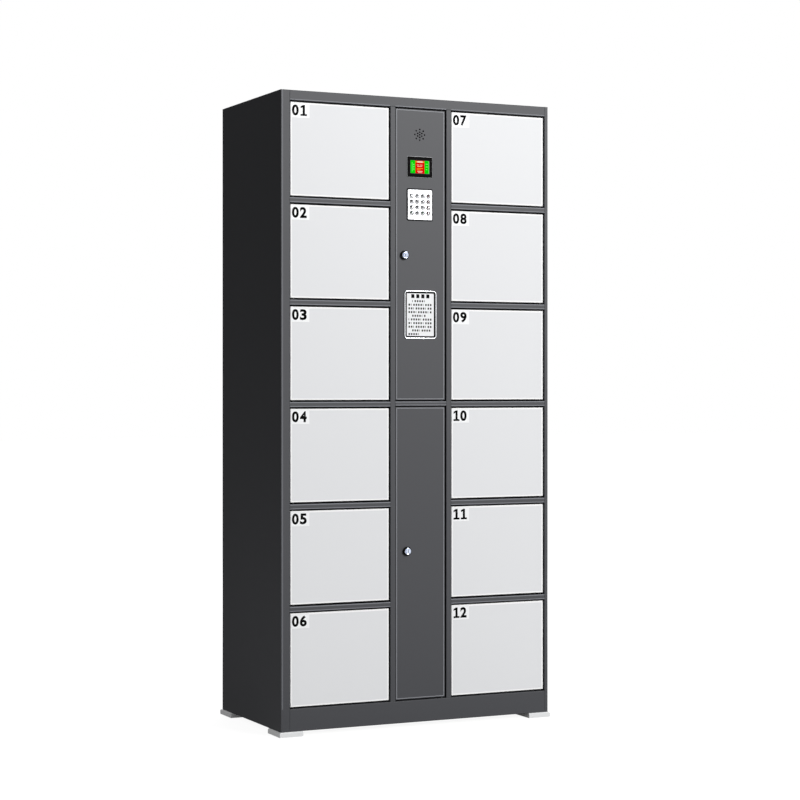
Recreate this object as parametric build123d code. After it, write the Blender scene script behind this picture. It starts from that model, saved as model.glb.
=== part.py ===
from build123d import *
import os
from math import cos, radians, sin

# An upright electronic locker of folded sheet steel: two columns of six inset doors with a
# control column between them. X runs to the right, Y to the back, Z up from the floor, and
# the origin is under the middle of the cabinet. All sizes are in millimetres.

# Cabinet
CABINET_W = 850.0
CABINET_D = 460.0
TOTAL_H = 1800.0
FOOT_H = 14.0
SHEET = 1.0
BEND = 1.5
FRONT = -CABINET_D / 2
BACK = CABINET_D / 2
FLOOR = FOOT_H

# Front frame, seen from the front and read from left to right
LEFT_STILE = 27.0
OPENING_W = 309.0
INNER_STILE = 16.0
COLUMN_W = 162.0
FRAME_DEPTH = 22.5
REAR_RETURN = 10.0
REAR_LEG = 2.0
END_FLANGE = 18.0

# Front frame, read from the top down
HEADER = 28.0
ROWS = 6
OPENING_H = 270.0
RAIL = 15.0
PITCH = OPENING_H + RAIL
SERVICE_RAIL = 13.0
SERVICE_RAIL_MIDDLE = 926.0

X_OPENING = -CABINET_W / 2 + LEFT_STILE
X_LEFT_STILE = X_OPENING + OPENING_W
X_COLUMN = X_LEFT_STILE + INNER_STILE
X_RIGHT_STILE = X_COLUMN + COLUMN_W
X_MIDDLE = X_COLUMN + COLUMN_W / 2
RIGHT_STILE = CABINET_W / 2 - (X_RIGHT_STILE + INNER_STILE + OPENING_W)
Z_HEADER = TOTAL_H - HEADER
Z_PLINTH = Z_HEADER - ROWS * OPENING_H - (ROWS - 1) * RAIL
Y_FRAME_BACK = FRONT + FRAME_DEPTH

# Sheets inside the cabinet
X_DIVIDER = X_LEFT_STILE + INNER_STILE / 2
Y_BACK_SHEET = BACK - 2 * SHEET
SHELF_FLANGE = 13.0
CABLE_SLOT = 14.0

# Doors
DOOR_RECESS = 4.5
DOOR_T = 18.0
SIDE_GAP = 3.0
END_GAP = 4.5
SERVICE_SIDE_GAP = 2.0
SERVICE_END_GAP = 3.0
DOOR_LIP = 12.0
LINER_T = 6.0
Y_DOOR = FRONT + DOOR_RECESS
Y_DOOR_BACK = Y_DOOR + DOOR_T

# Pivot pins, welded to the doors' ends; the shoulder of the lower one carries the door
PIVOT_FROM_STILE = 12.0
PIVOT_BEHIND = 5.0
PIN_R = 2.5
PIN_CLEARANCE = 0.05
SHOULDER_R = 3.8
PIN_REACH = 4.0
SHOULDER_GAP = 0.3
PIVOT_X = X_OPENING + PIVOT_FROM_STILE
SERVICE_PIVOT_X = X_RIGHT_STILE - PIVOT_FROM_STILE
PIVOT_Y = Y_DOOR + PIVOT_BEHIND

# Electric latches and the tongues that enter them
LATCH_W = 22.0
LATCH_D = 45.0
LATCH_H = 62.0
LATCH_BEHIND = 3.5
LATCH_CHAMFER = 1.0
TONGUE_T = 2.0
TONGUE_H = 14.0
TONGUE_REACH = 27.0
TONGUE_FOOT = 20.0
TONGUE_FROM_PIVOT = 291.5
TONGUE_HOLE = 7.0
SLOT_INNER_GAP = 0.7
SLOT_OUTER_GAP = 4.0
SLOT_H = 20.0
SLOT_DEPTH = 28.0

# Cam locks of the two service doors
LOCK_FACE_R = 10.5
LOCK_PROUD = 9.0
LOCK_BEVEL = 1.5
LOCK_BODY_R = 9.0
LOCK_NUT_R = 13.0
LOCK_NUT_T = 4.0
PLUG_R = 6.0
PLUG_CLEARANCE = 0.05
PLUG_PROUD = 0.4
CAM_T = 2.5
CAM_W = 14.0
CAM_TIP_PAST_STILE = 6.0
CAM_GAP = 1.0
CAM_SCREW_R = 4.0
KEYWAY = (2.0, 8.0, 5.0)
UPPER_LOCK = (-43.0, 1350.0)
LOWER_LOCK = (-35.0, 504.0)

# Control panel on the upper service door
PANEL_X = 6.0
SPEAKER_Z = 1696.5
SPEAKER_R = 22.0
SPEAKER_RIM = 2.0
SPEAKER_MAGNET = (11.0, 8.0, 13.0)
GRILLE_HOLE_R = 2.5
GRILLE_RINGS = ((1, 0.0), (6, 7.5), (8, 15.5))
SCREEN_Z = 1603.8
SCREEN_BEZEL = (78.0, 58.0, 3.0)
SCREEN_WINDOW = (64.0, 39.5)
SCREEN_BODY = (72.0, 50.0, 5.0)
SCREEN_SUNK = 1.0
KEYPAD_Z = 1495.5
KEYPAD_PLATE = (77.0, 86.0, 2.0)
KEYPAD_CUTOUT = (71.0, 66.0)
KEYPAD_BASE = (76.0, 72.0, 8.0)
KEY_PITCH = (17.8, 16.3)
KEY_R = 6.4
KEY_GAP = 0.5
KEY_PROUD = 3.0
KEY_BEVEL = 1.5
KEY_FLANGE_R = 7.4
KEY_FLANGE_T = 1.0
KEY_ROWS = (("1", "2", "3", "a"), ("4", "5", "6", "b"), ("7", "8", "9", "c"), ("star", "0", "hash", "d"))
NOTICE_X = 7.5
NOTICE_Z = 1180.5
NOTICE = (103.0, 139.0, 3.0)
NOTICE_BORDER = 7.0
NOTICE_R = 10.0
CARD_T = 1.0
CARD_R = 5.5

# Feet, power inlet and electrics
FOOT = (70.0, 90.0)
FOOT_PROUD = 5.0
FOOT_CHAMFER = 3.0
FOOT_SCREW_R = 6.0
GLAND_Z = 130.0
GLAND_R = 8.0
GLAND_NUT_R = 12.0
GLAND_NUT_T = 4.5
GLAND_BORE_R = 4.0
SUPPLY = (98.0, 38.0, 160.0)
SUPPLY_Z = 320.0
SUPPLY_CHAMFER = 2.0
VENT = (64.0, 4.0)
VENT_PITCH = 12.0
VENTS = 9
TERMINALS = (64.0, 19.0, 12.0)
BOARD = (140.0, 1.6, 180.0)
BOARD_Z = 1440.0
STANDOFF = 12.0
STANDOFF_R = 3.0
STANDOFF_IN = 6.0
CONNECTOR = (8.0, 9.0, 16.0)
CONNECTOR_PITCH = 24.0
CHIP = (36.0, 3.0)
DUCT = 28.0
DUCT_WALL = 1.6
DUCT_BACK = 40.0


def block(x0, x1, y0, y1, z0, z1):
    """A box between two corners."""
    return Pos((x0 + x1) / 2, (y0 + y1) / 2, (z0 + z1) / 2) * Box(x1 - x0, y1 - y0, z1 - z0)


def slab(x, z, width, height, y0, y1):
    """A box centred on x and z, from y0 to y1 along the depth of the cabinet."""
    return block(x - width / 2, x + width / 2, y0, y1, z - height / 2, z + height / 2)


def bar_y(x, z, radius, y0, y1):
    """A round bar from y0 to y1 along the depth of the cabinet."""
    return Pos(x, (y0 + y1) / 2, z) * Rot(90, 0, 0) * Cylinder(radius, y1 - y0)


def folded(points, plane, length, side=Side.LEFT):
    """A sheet folded along points, which are its outside corners, pushed out by length."""
    line = FilletPolyline(*points, radius=BEND)
    section = make_face(offset(line, amount=SHEET, side=side, closed=True).edges())
    return extrude(plane * section, length, dir=plane.z_dir)


def channel(x0, x1, z0, z1, upright):
    """A frame member: a face on the cabinet's front with a return on each long side."""
    if upright:
        points = [(x0, Y_FRAME_BACK), (x0, FRONT), (x1, FRONT), (x1, Y_FRAME_BACK)]
        return folded(points, Plane.XY.offset(z0), z1 - z0)
    points = [(Y_FRAME_BACK, z0), (FRONT, z0), (FRONT, z1), (Y_FRAME_BACK, z1)]
    return folded(points, Plane.YZ.offset(x0), x1 - x0, Side.RIGHT)


def tray(x0, x1, y0, y1, z0, z1, open_to):
    """A sheet with four flanges folded over and its corners closed, open on the one side named."""
    axis, last = {"back": (Axis.Y, 0), "down": (Axis.Z, -1)}[open_to]
    outer = block(x0, x1, y0, y1, z0, z1)
    outer = fillet(outer.faces().sort_by(axis)[last].edges(), BEND)
    y_open = y1 if open_to == "back" else y1 - SHEET
    z_open = z0 if open_to == "down" else z0 + SHEET
    return outer - block(x0 + SHEET, x1 - SHEET, y0 + SHEET, y_open, z_open, z1 - SHEET)


def mirrored(shape):
    """The same piece for the right-hand column."""
    return mirror(shape, about=Plane.YZ.offset(X_MIDDLE))


def pin_hole(x, z):
    """The cutter for a pivot's running hole through the frame sheet near height z."""
    return Pos(x, PIVOT_Y, z) * Cylinder(PIN_R + PIN_CLEARANCE, 4 * SHEET)


def pivot_pin(x, end, gap, out):
    """A pin welded to a door's end at height end: plain where out is 1, upwards, and with a shoulder
    under the door where out is -1, downwards."""
    tip = gap + SHEET + PIN_REACH
    pin = Pos(0, 0, out * tip / 2) * Cylinder(PIN_R, tip)
    if out < 0:
        shoulder = gap - SHOULDER_GAP
        pin += Pos(0, 0, -shoulder / 2) * Cylinder(SHOULDER_R, shoulder)
    return Pos(x, PIVOT_Y, end) * pin


def opening_top(row):
    return Z_HEADER - row * PITCH


def side_panel(stile):
    """Left side: the corner stile, the side sheet butt-welded to its return, and a folded rear edge."""
    left = -CABINET_W / 2
    y_leg = BACK - REAR_LEG
    post = channel(left, left + stile, FLOOR, TOTAL_H, True)
    sheet = block(left, left + SHEET, Y_FRAME_BACK, y_leg, FLOOR, TOTAL_H)
    points = [(left + REAR_RETURN, BACK), (left, BACK), (left, y_leg)]
    rear = folded(points, Plane.XY.offset(FLOOR), TOTAL_H - FLOOR)
    return [post, sheet, rear]


def right_side_panel():
    """Right side: the same three pieces with a narrower stile."""
    return [mirror(piece, about=Plane.YZ) for piece in side_panel(RIGHT_STILE)]


def end_panel(z_face, z_edge, holes):
    """The roof or the base: its front is folded into the header or the plinth, between the stiles,
    and flat ears reach over both stiles and turn along the side panels."""
    inward = 1 if z_edge > z_face else -1
    side = Side.RIGHT if inward > 0 else Side.LEFT
    points = [(BACK, z_face + inward * END_FLANGE), (BACK, z_face), (FRONT, z_face), (FRONT, z_edge),
              (Y_FRAME_BACK, z_edge)]
    x_end = CABINET_W / 2 - RIGHT_STILE
    middle = folded(points, Plane.YZ.offset(X_OPENING), x_end - X_OPENING, side)
    z_sheet = sorted((z_face, z_face + inward * SHEET))
    z_flange = sorted((z_face, z_face + inward * END_FLANGE))
    inner = CABINET_W / 2 - SHEET
    y_ends = (FRONT + SHEET, BACK - SHEET)
    ears = [block(-inner, X_OPENING, *y_ends, *z_sheet), block(x_end, inner, *y_ends, *z_sheet)]
    y_flange = (Y_FRAME_BACK, Y_BACK_SHEET)
    ears += [block(-inner, SHEET - inner, *y_flange, *z_flange)]
    ears += [block(inner - SHEET, inner, *y_flange, *z_flange)]
    return middle + ears - side_panel(LEFT_STILE) - right_side_panel() - holes


def front_frame():
    """Welded frame members between the side panels: two inner stiles and eleven rails."""
    stiles = [channel(X_LEFT_STILE, X_COLUMN, Z_PLINTH, Z_HEADER, True)]
    stiles += [channel(X_RIGHT_STILE, X_RIGHT_STILE + INNER_STILE, Z_PLINTH, Z_HEADER, True)]
    rails = []
    for row in range(1, ROWS):
        low = opening_top(row)
        rail = channel(X_OPENING, X_LEFT_STILE, low, low + RAIL, False)
        rail -= [pin_hole(PIVOT_X, low), pin_hole(PIVOT_X, low + RAIL)]
        rails += [rail, mirrored(rail)]
    low = SERVICE_RAIL_MIDDLE - SERVICE_RAIL / 2
    rail = channel(X_COLUMN, X_RIGHT_STILE, low, low + SERVICE_RAIL, False)
    rail -= [pin_hole(SERVICE_PIVOT_X, low), pin_hole(SERVICE_PIVOT_X, low + SERVICE_RAIL)]
    return stiles + rails + [rail]


def dividers():
    """Two sheets between the compartments and the control column, with a cable slot at each latch."""
    sheet = block(X_DIVIDER - SHEET / 2, X_DIVIDER + SHEET / 2, FRONT + SHEET, Y_BACK_SHEET,
                  Z_PLINTH, Z_HEADER)
    slot = Box(4 * SHEET, CABLE_SLOT, CABLE_SLOT)
    sheet -= [Pos(X_DIVIDER, latch_back() - LATCH_D / 4, door_middle(row)) * slot for row in range(ROWS)]
    return [sheet, mirrored(sheet)]


def latch_back():
    return Y_DOOR_BACK + LATCH_BEHIND + LATCH_D


def door_middle(row):
    return opening_top(row) - OPENING_H / 2


def shelves():
    """One flanged shelf under each compartment; its top is level with the rail's top."""
    side = CABINET_W / 2 - SHEET
    trays = []
    for row in range(ROWS):
        top = opening_top(row) - OPENING_H
        for x0, x1 in ((-side, X_DIVIDER - SHEET / 2), (mirror_x(X_DIVIDER) + SHEET / 2, side)):
            trays.append(tray(x0, x1, Y_FRAME_BACK, Y_BACK_SHEET, top - SHELF_FLANGE, top, "down"))
    return trays


def mirror_x(x):
    return 2 * X_MIDDLE - x


def service_shelves():
    """The shelf between the two control bays and the floor of the lower one."""
    left, right = X_DIVIDER + SHEET / 2, mirror_x(X_DIVIDER) - SHEET / 2
    tops = (SERVICE_RAIL_MIDDLE + SERVICE_RAIL / 2, Z_PLINTH)
    y_duct = duct_front()
    notch = block(right - DUCT, right, y_duct, y_duct + DUCT, Z_PLINTH - 2 * SHELF_FLANGE, TOTAL_H)
    shelf, floor = [tray(left, right, Y_FRAME_BACK, Y_BACK_SHEET, top - SERVICE_RAIL + SHEET, top, "down")
                    for top in tops]
    return [shelf - notch, floor]


def back_panel():
    """A flat sheet behind the rear returns, with the hole for the power gland."""
    edge = CABINET_W / 2 - 2 * SHEET
    sheet = block(-edge, edge, Y_BACK_SHEET, Y_BACK_SHEET + SHEET, FLOOR + 2 * SHEET, TOTAL_H - 2 * SHEET)
    return sheet - bar_y(X_MIDDLE, GLAND_Z, GLAND_R, BACK - 2 * DUCT, BACK)


def feet():
    """Four corner pads, a little proud of the cabinet, each screwed on from below."""
    x0, y0 = CABINET_W / 2 + FOOT_PROUD, CABINET_D / 2 + FOOT_PROUD
    pad = block(x0 - FOOT[0], x0, y0 - FOOT[1], y0, 0, FOOT_H)
    rim = pad.faces().sort_by(Axis.Z)[-1].edges()
    pad = chamfer(rim.sort_by(Axis.Y)[-1:] + rim.sort_by(Axis.X)[-1:], FOOT_CHAMFER)
    middle = (x0 - FOOT[0] / 2, y0 - FOOT[1] / 2)
    pad -= Pos(*middle, 0) * Cylinder(FOOT_SCREW_R, FOOT_H)
    right = [pad, mirror(pad, about=Plane.XZ)]
    return right + [mirror(each, about=Plane.YZ) for each in right]


def latch(row):
    """An electric latch's case on the divider, with a slot in front for the door's tongue."""
    x1 = X_DIVIDER - SHEET / 2
    x0 = x1 - LATCH_W
    y1 = latch_back()
    y0 = y1 - LATCH_D
    z = door_middle(row)
    case = block(x0, x1, y0, y1, z - LATCH_H / 2, z + LATCH_H / 2)
    case = chamfer(case.faces().sort_by(Axis.X)[0].edges(), LATCH_CHAMFER)
    tongue = PIVOT_X + TONGUE_FROM_PIVOT
    return case - block(tongue - TONGUE_T / 2 - SLOT_INNER_GAP, tongue + TONGUE_T / 2 + SLOT_OUTER_GAP,
                        y0, y0 + SLOT_DEPTH, z - SLOT_H / 2, z + SLOT_H / 2)


def door_leaf(x0, x1, z0, z1):
    """The outer pan of a door, folded back on all four sides."""
    return tray(x0, x1, Y_DOOR, Y_DOOR_BACK, z0, z1, "back")


def compartment_door(row):
    """A left-hand door: outer pan, liner that closes it, tongue, its foot and two pivot pins."""
    x0 = X_OPENING + SIDE_GAP
    x1 = X_LEFT_STILE - SIDE_GAP
    z1 = opening_top(row) - END_GAP
    z0 = opening_top(row) - OPENING_H + END_GAP
    leaf = door_leaf(x0, x1, z0, z1)
    liner = block(x0 + SHEET, x1 - SHEET, Y_DOOR_BACK - LINER_T, Y_DOOR_BACK, z0 + SHEET, z1 - SHEET)
    wall = 2 * SHEET
    liner -= block(x0 + wall, x1 - wall, Y_DOOR, Y_DOOR_BACK - SHEET, z0 + wall, z1 - wall)
    return [leaf, liner, *tongue(door_middle(row)),
            pivot_pin(PIVOT_X, z1, END_GAP, 1), pivot_pin(PIVOT_X, z0, END_GAP, -1)]


def tongue(z):
    """A foot plate on the liner and, welded to it, the tongue with the eye that the latch holds."""
    x = PIVOT_X + TONGUE_FROM_PIVOT + TONGUE_T / 2
    y = Y_DOOR_BACK
    foot = block(x - TONGUE_FOOT, x - TONGUE_T, y, y + TONGUE_T, z - TONGUE_H, z + TONGUE_H)
    arm = block(x - TONGUE_T, x, y, y + TONGUE_REACH, z - TONGUE_H / 2, z + TONGUE_H / 2)
    arm = chamfer(arm.edges().filter_by(Axis.X).group_by(Axis.Y)[-1], TONGUE_H / 4)
    eye = Pos(x, y + TONGUE_REACH - TONGUE_HOLE, z) * Box(4 * TONGUE_T, TONGUE_HOLE, TONGUE_HOLE)
    return [foot, arm - eye]


def service_door(z_low, z_high, holes):
    """A service door: a pan with a lip turned in behind, hung on two pins on its right."""
    x0, x1 = X_COLUMN + SERVICE_SIDE_GAP, X_RIGHT_STILE - SERVICE_SIDE_GAP
    z0, z1 = z_low + SERVICE_END_GAP, z_high - SERVICE_END_GAP
    leaf = door_leaf(x0, x1, z0, z1)
    inside, edge = SHEET / 2, DOOR_LIP
    lip = block(x0 + inside, x1 - inside, Y_DOOR_BACK - SHEET, Y_DOOR_BACK, z0 + inside, z1 - inside)
    lip -= block(x0 + edge, x1 - edge, Y_DOOR, BACK, z0 + edge, z1 - edge)
    return [leaf + lip - holes, pivot_pin(SERVICE_PIVOT_X, z1, SERVICE_END_GAP, 1),
            pivot_pin(SERVICE_PIVOT_X, z0, SERVICE_END_GAP, -1)]


def through(x, z, width, height):
    """A rectangular cutter through a service door's face."""
    return slab(x, z, width, height, Y_DOOR - SHEET, Y_DOOR + 3 * SHEET)


def grille_holes():
    """A middle hole and two rings of holes in front of the speaker."""
    holes = []
    for count, radius in GRILLE_RINGS:
        for step in range(count):
            turn = radians(90 + 360 * step / count)
            holes.append(bar_y(PANEL_X + radius * cos(turn), SPEAKER_Z + radius * sin(turn), GRILLE_HOLE_R,
                               Y_DOOR - SHEET, Y_DOOR + 3 * SHEET))
    return holes


def lock_hole(place):
    return [bar_y(*place, LOCK_BODY_R, Y_DOOR - SHEET, Y_DOOR + 3 * SHEET)]


def lock_barrel(place):
    """The fixed part of a cam lock: a proud bevelled head, a body and the hexagon nut behind the door."""
    face = bar_y(*place, LOCK_FACE_R, Y_DOOR - LOCK_PROUD, Y_DOOR)
    face = chamfer(face.faces().sort_by(Axis.Y)[0].edges(), LOCK_BEVEL)
    body = face + bar_y(*place, LOCK_BODY_R, Y_DOOR, Y_DOOR_BACK + CAM_GAP - SHOULDER_GAP)
    bore = bar_y(*place, PLUG_R + PLUG_CLEARANCE, Y_DOOR - 2 * LOCK_PROUD, Y_DOOR_BACK + LOCK_PROUD)
    nut = extrude(Plane.XZ * RegularPolygon(LOCK_NUT_R, 6), -LOCK_NUT_T)
    nut = Pos(place[0], Y_DOOR + SHEET, place[1]) * nut - bar_y(*place, LOCK_BODY_R, Y_DOOR, Y_DOOR_BACK)
    return [body - bore, nut]


def lock_plug(place):
    """The turning part of a cam lock: plug with its keyway, cam hanging down, and the cam's screw."""
    x, z = place
    y_cam = Y_DOOR_BACK + CAM_GAP
    y_face = Y_DOOR - LOCK_PROUD - PLUG_PROUD
    plug = bar_y(x, z, PLUG_R, y_face, y_cam)
    wide, tall, deep = KEYWAY
    plug -= slab(x, z, wide, tall, y_face, y_face + deep)
    reach = x - (X_COLUMN - CAM_TIP_PAST_STILE)
    outline = make_hull([*Circle(CAM_W / 2).edges(),
                         *(Pos(0, -reach + CAM_W / 4) * Rectangle(CAM_W * 0.8, CAM_W / 2)).edges()])
    cam = Pos(x, y_cam + CAM_T, z) * extrude(Plane.XZ * outline, CAM_T)
    return [plug, cam, bar_y(x, z, CAM_SCREW_R, y_cam + CAM_T, y_cam + 2 * CAM_T)]


def speaker():
    """A small loudspeaker behind the grille: rim, tapering basket and magnet."""
    magnet_r, y_magnet, y_end = SPEAKER_MAGNET
    profile = [(0, 0), (SPEAKER_R, 0), (SPEAKER_R, SPEAKER_RIM), (magnet_r, y_magnet), (magnet_r, y_end),
               (0, y_end)]
    body = revolve(make_face(Polyline(*profile, close=True)), Axis.Y)
    return Pos(PANEL_X, Y_DOOR + SHEET, SPEAKER_Z) * body


def screen():
    """The bezel around the display and the display that shows in its window."""
    wide, tall, deep = SCREEN_BEZEL
    bezel = slab(PANEL_X, SCREEN_Z, wide, tall, Y_DOOR - deep, Y_DOOR)
    bezel = fillet(bezel.edges().filter_by(Axis.Y), deep / 2)
    bezel = chamfer(bezel.faces().sort_by(Axis.Y)[0].edges(), deep / 3)
    bezel -= slab(PANEL_X, SCREEN_Z, *SCREEN_WINDOW, Y_DOOR - 2 * deep, BACK)
    wide, tall, thick = SCREEN_BODY
    body = slab(PANEL_X, SCREEN_Z, wide, tall, Y_DOOR, Y_DOOR + thick)
    body += slab(PANEL_X, SCREEN_Z, *SCREEN_WINDOW, Y_DOOR - deep + SCREEN_SUNK, Y_DOOR + thick)
    return bezel, body


def key_place(row, column):
    return (PANEL_X + (column - 1.5) * KEY_PITCH[0], KEYPAD_Z + (1.5 - row) * KEY_PITCH[1])


def keypad():
    """The key plate on the door's face and the tray behind it that carries the contacts."""
    wide, tall, thick = KEYPAD_PLATE
    plate = slab(PANEL_X, KEYPAD_Z, wide, tall, Y_DOOR - thick, Y_DOOR)
    plate = fillet(plate.edges().filter_by(Axis.Y), thick)
    plate = chamfer(plate.faces().sort_by(Axis.Y)[0].edges(), thick / 4)
    places = [key_place(row, column) for row in range(4) for column in range(4)]
    plate -= [bar_y(x, z, KEY_R + KEY_GAP, Y_DOOR - 2 * thick, Y_DOOR + thick) for x, z in places]
    wide, tall, deep = KEYPAD_BASE
    y = Y_DOOR + SHEET
    wall = (wide - KEYPAD_CUTOUT[0]) / 2
    base = slab(PANEL_X, KEYPAD_Z, wide, tall, y, y + deep)
    base -= slab(PANEL_X, KEYPAD_Z, wide - 2 * wall, tall - 2 * wall, y, y + deep - wall)
    return plate, base


def key(row, column):
    """A round key: bevelled cap and the flange that keeps it behind the plate."""
    x, z = key_place(row, column)
    y_top = Y_DOOR - KEYPAD_PLATE[2] - KEY_PROUD
    y_flange = Y_DOOR + SHOULDER_GAP
    cap = bar_y(x, z, KEY_R, y_top, y_flange)
    cap = chamfer(cap.faces().sort_by(Axis.Y)[0].edges(), KEY_BEVEL)
    return cap + bar_y(x, z, KEY_FLANGE_R, y_flange, y_flange + KEY_FLANGE_T)


def notice():
    """A rounded frame on the upper service door and the plain card that lies in it."""
    wide, tall, thick = NOTICE
    window = RectangleRounded(wide - 2 * NOTICE_BORDER, tall - 2 * NOTICE_BORDER, CARD_R)
    rim = extrude(Plane.XZ * RectangleRounded(wide, tall, NOTICE_R), thick)
    rim = chamfer(rim.faces().sort_by(Axis.Y)[0].edges(), thick / 2.5)
    rim -= extrude(Plane.XZ * window, 2 * thick)
    card = extrude(Plane.XZ * window, CARD_T)
    place = Pos(NOTICE_X, Y_DOOR, NOTICE_Z)
    return place * rim, place * card


def gland():
    """The power cord's inlet through the back: two hexagon nuts on a hollow screw."""
    place = Pos(X_MIDDLE, BACK - SHEET, GLAND_Z)
    nut = extrude(Plane.XZ * RegularPolygon(GLAND_NUT_R, 6), -GLAND_NUT_T)
    outer = chamfer(nut.faces().sort_by(Axis.Y)[-1].edges(), 1)
    body = place * outer + bar_y(X_MIDDLE, GLAND_Z, GLAND_R, Y_BACK_SHEET - DUCT, BACK - SHEET)
    body += Pos(X_MIDDLE, Y_BACK_SHEET - GLAND_NUT_T, GLAND_Z) * nut
    return body - bar_y(X_MIDDLE, GLAND_Z, GLAND_BORE_R, Y_BACK_SHEET - 2 * DUCT, BACK + FOOT_PROUD)


def power_supply():
    """The closed power supply on the back sheet, with its terminal block."""
    wide, deep, tall = SUPPLY
    case = slab(X_MIDDLE, SUPPLY_Z, wide, tall, Y_BACK_SHEET - deep, Y_BACK_SHEET)
    case = chamfer(case.edges().filter_by(Axis.Z).group_by(Axis.Y)[0], SUPPLY_CHAMFER)
    vent = Pos(X_MIDDLE, Y_BACK_SHEET - deep, SUPPLY_Z) * Box(VENT[0], 2 * SHEET, VENT[1])
    vents = [Pos(0, 0, (step - (VENTS - 1) / 2) * VENT_PITCH) * vent for step in range(VENTS)]
    terminals = Box(*TERMINALS)
    z_terminals = SUPPLY_Z - tall / 2 - TERMINALS[2] / 2
    return [case - vents, Pos(X_MIDDLE, Y_BACK_SHEET - deep / 2, z_terminals) * terminals]


def control_board():
    """The control board on four standoffs, with a connector for each latch along its sides."""
    wide, thick, tall = BOARD
    y = Y_BACK_SHEET - STANDOFF - thick
    parts = [Pos(X_MIDDLE, y + thick / 2, BOARD_Z) * Box(wide, thick, tall)]
    half_w, half_t = wide / 2 - STANDOFF_IN, tall / 2 - STANDOFF_IN
    for dx in (-half_w, half_w):
        for dz in (-half_t, half_t):
            parts.append(bar_y(X_MIDDLE + dx, BOARD_Z + dz, STANDOFF_R, y + thick, Y_BACK_SHEET))
        for row in range(ROWS):
            z = BOARD_Z + ((ROWS - 1) / 2 - row) * CONNECTOR_PITCH
            parts.append(Pos(X_MIDDLE + dx, y - CONNECTOR[1] / 2, z) * Box(*CONNECTOR))
    parts.append(Pos(X_MIDDLE, y - CHIP[1] / 2, BOARD_Z) * Box(CHIP[0], CHIP[1], CHIP[0]))
    return parts


def duct_front():
    return Y_BACK_SHEET - DUCT_BACK - DUCT


def cable_duct():
    """An open wiring channel and its snap-on lid, up the right-hand divider."""
    x1 = mirror_x(X_DIVIDER) - SHEET / 2
    x0 = x1 - DUCT
    y0, y1 = duct_front(), duct_front() + DUCT
    z0, z1 = Z_PLINTH, Z_HEADER - DUCT
    gap = DUCT_WALL / 2
    trough = block(x0 + DUCT_WALL, x1, y0 + gap, y1 - gap, z0, z1)
    trough -= block(x0, x1 - DUCT_WALL, y0 + gap + DUCT_WALL, y1 - gap - DUCT_WALL, z0, z1)
    lid = block(x0, x0 + DUCT_WALL, y0 + gap, y1 - gap, z0, z1)
    return [trough, lid]


def write(name, pieces):
    """One STEP file for one named sub-part, which may be several loose solids."""
    pieces = pieces if isinstance(pieces, list) else [pieces]
    solids = [solid for piece in pieces for solid in piece.solids()]
    export_step(Compound(children=solids, label=name), f"parts/{name}.step")


def main():
    os.makedirs("parts", exist_ok=True)
    write("left_side_panel", side_panel(LEFT_STILE))
    write("right_side_panel", right_side_panel())
    pivots = (PIVOT_X, mirror_x(PIVOT_X), SERVICE_PIVOT_X)
    write("top_panel", end_panel(TOTAL_H, Z_HEADER, [pin_hole(x, Z_HEADER) for x in pivots]))
    write("base_panel", end_panel(FLOOR, Z_PLINTH, [pin_hole(x, Z_PLINTH) for x in pivots]))
    write("back_panel", back_panel())
    write("front_frame", front_frame())
    write("column_dividers", dividers())
    write("compartment_shelves", shelves())
    write("service_shelves", service_shelves())
    write("corner_feet", feet())
    latches = [latch(row) for row in range(ROWS)]
    write("door_latches", latches + [mirrored(each) for each in latches])
    write("power_gland", gland())
    write("power_supply", power_supply())
    write("control_board", control_board())
    write("cable_duct", cable_duct())
    for row in range(ROWS):
        pieces = compartment_door(row)
        write(f"door_{row + 1:02d}", pieces)
        write(f"door_{row + 1 + ROWS:02d}", [mirrored(piece) for piece in pieces])
    service_low = SERVICE_RAIL_MIDDLE - SERVICE_RAIL / 2
    panel_holes = [through(PANEL_X, SCREEN_Z, *SCREEN_BODY[:2]), through(PANEL_X, KEYPAD_Z, *KEYPAD_CUTOUT)]
    panel_holes += grille_holes() + lock_hole(UPPER_LOCK)
    write("upper_service_door", service_door(service_low + SERVICE_RAIL, Z_HEADER, panel_holes))
    write("lower_service_door", service_door(Z_PLINTH, service_low, lock_hole(LOWER_LOCK)))
    for name, place in (("upper", UPPER_LOCK), ("lower", LOWER_LOCK)):
        write(f"{name}_lock_barrel", lock_barrel(place))
        write(f"{name}_lock_plug", lock_plug(place))
    bezel, display = screen()
    write("screen_bezel", bezel)
    write("screen_panel", display)
    write("speaker", speaker())
    plate, base = keypad()
    write("keypad_plate", plate)
    write("keypad_base", base)
    for row, names in enumerate(KEY_ROWS):
        for column, name in enumerate(names):
            write(f"key_{name}", key(row, column))
    frame, card = notice()
    write("notice_frame", frame)
    write("notice_card", card)


if __name__ == "__main__":
    main()
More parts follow.
